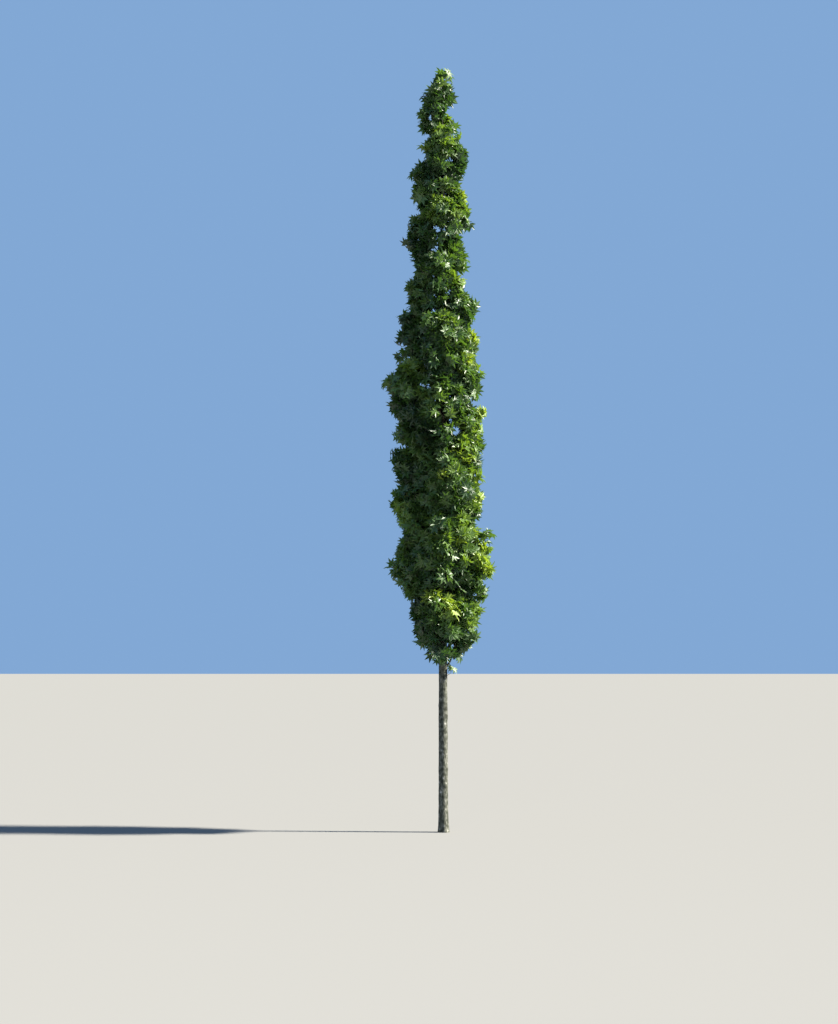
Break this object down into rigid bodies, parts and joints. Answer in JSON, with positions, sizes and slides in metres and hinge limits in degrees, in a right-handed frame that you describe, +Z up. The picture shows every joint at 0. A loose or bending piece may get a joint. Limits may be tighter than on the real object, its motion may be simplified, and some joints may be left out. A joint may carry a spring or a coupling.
{
  "type": "columnar sweetgum tree",
  "caption": "Tall narrow sweetgum tree with a clear straight trunk, steep short boughs and star-leaved foliage from the trunk's upper part to the tip.",
  "frame": {"origin": "middle of the flat cut under the trunk, at ground level", "axes": "+Z up along the trunk, +X to the right and -Y towards the front of the tree as the picture shows it"},
  "size_m": [1.557, 1.4307, 10.3147],
  "materials": {
    "bark": "rough, furrowed",
    "foliage": "satin leaf"
  },
  "bodies": {
    "root": {"trunk": "bark", "bough_left_1": "bark", "bough_left_2": "bark", "bough_left_3": "bark", "bough_left_4": "bark", "bough_left_5": "bark", "bough_right_1": "bark", "bough_right_2": "bark", "bough_right_3": "bark", "bough_right_4": "bark", "bough_right_5": "bark", "bough_front_1": "bark", "bough_front_2": "bark", "bough_front_3": "bark", "bough_front_4": "bark", "bough_back_1": "bark", "bough_back_2": "bark", "bough_back_3": "bark", "bough_back_4": "bark", "foliage_left_1": "foliage", "foliage_left_2": "foliage", "foliage_left_3": "foliage", "foliage_left_4": "foliage", "foliage_left_5": "foliage", "foliage_left_6": "foliage", "foliage_left_7": "foliage", "foliage_left_8": "foliage", "foliage_left_9": "foliage", "foliage_left_10": "foliage", "foliage_left_11": "foliage", "foliage_right_1": "foliage", "foliage_right_2": "foliage", "foliage_right_3": "foliage", "foliage_right_4": "foliage", "foliage_right_5": "foliage", "foliage_right_6": "foliage", "foliage_right_7": "foliage", "foliage_right_8": "foliage", "foliage_right_9": "foliage", "foliage_right_10": "foliage", "foliage_front_1": "foliage", "foliage_front_2": "foliage", "foliage_front_3": "foliage", "foliage_front_4": "foliage", "foliage_front_5": "foliage", "foliage_front_6": "foliage", "foliage_front_7": "foliage", "foliage_front_8": "foliage", "foliage_back_1": "foliage", "foliage_back_2": "foliage", "foliage_back_3": "foliage", "foliage_back_4": "foliage", "foliage_back_5": "foliage", "foliage_back_6": "foliage", "foliage_back_7": "foliage", "foliage_back_8": "foliage", "foliage_tip": "foliage"}
  },
  "joints": []
}
